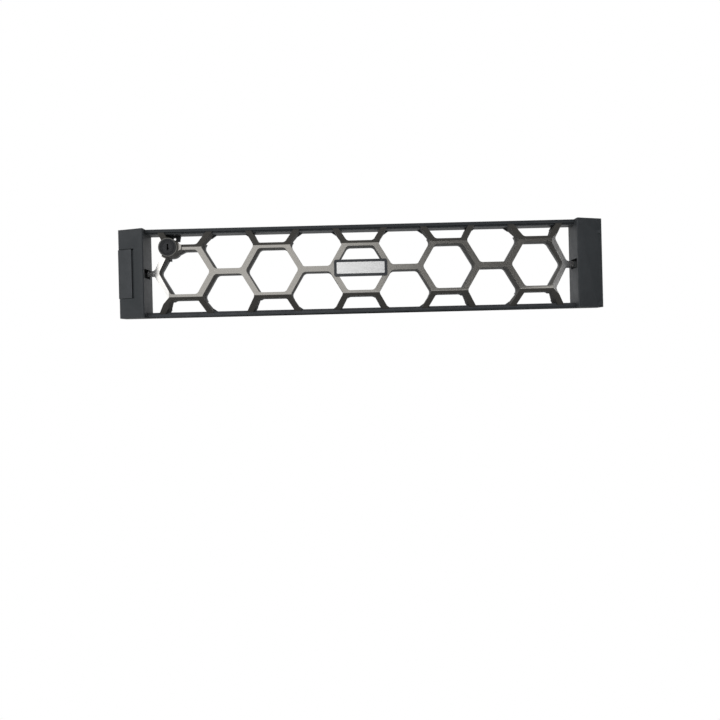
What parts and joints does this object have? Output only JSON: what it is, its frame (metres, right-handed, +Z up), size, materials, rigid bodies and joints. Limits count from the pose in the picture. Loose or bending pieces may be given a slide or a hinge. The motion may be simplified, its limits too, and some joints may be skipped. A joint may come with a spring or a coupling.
{
  "type": "rack server front bezel",
  "caption": "Front bezel of a two-unit rack server: faceted honeycomb grille between two rails and two end caps, with a key lock, a spring-return release button and a blank badge.",
  "frame": {"origin": "middle of the underside of the bottom rail, half way through the rail's depth", "axes": "+X along the width, with the lock and release button at the -X end; the front faces -Y; +Z up"},
  "size_m": [0.4828, 0.0286, 0.0875],
  "materials": {
    "frame": "fine satin texture",
    "grille": "satin metallic coat over a moulded grille",
    "backing": "satin",
    "cover": "fine texture",
    "dark_screw": "black oxide",
    "bright_screw": "bright zinc",
    "badge_frame": "satin",
    "badge_face": "brushed, blank",
    "carrier": "satin",
    "lock_black": "black chrome",
    "lock_bright": "nickel plated",
    "button": "fine satin texture",
    "spring_steel": "bright zinc",
    "tab_steel": "dark phosphate",
    "label": "blank white film"
  },
  "bodies": {
    "bezel": {"outer_frame": "frame", "front_grille": "grille", "rear_frame": "backing", "left_rear_cover": "cover", "right_rear_cover": "cover", "left_cover_screws": "dark_screw", "right_cover_screws": "dark_screw", "frame_screws": "bright_screw", "badge_carrier": "carrier", "badge_plate": "badge_frame", "badge_inlay": "badge_face", "badge_screws": "dark_screw", "lock_housing": "lock_black", "lock_ring_nut": "lock_bright", "release_springs": "spring_steel", "hook_tabs": "tab_steel", "rear_label": "label", "rail_clip": "spring_steel"},
    "lock_plug": {"lock_plug": "lock_black", "lock_cam": "lock_bright", "cam_screw": "dark_screw"},
    "release": {"release_button": "button", "latch_plate": "spring_steel", "lock_link": "spring_steel", "link_rivet": "spring_steel"}
  },
  "joints": [
    {"name": "lock_turn", "type": "hinge", "parent": "bezel", "child": "lock_plug", "pos_m": [-0.18785, 0, 0.06815], "axis": [0, -1, 0], "range_deg": [-90, 0]},
    {"name": "release_slide", "type": "slide", "parent": "bezel", "child": "release", "axis": [1, 0, 0], "range_m": [0, 0.0022], "stiffness_N_per_m": 900, "springref_m": -0.001, "deforming": ["release_springs"]}
  ]
}
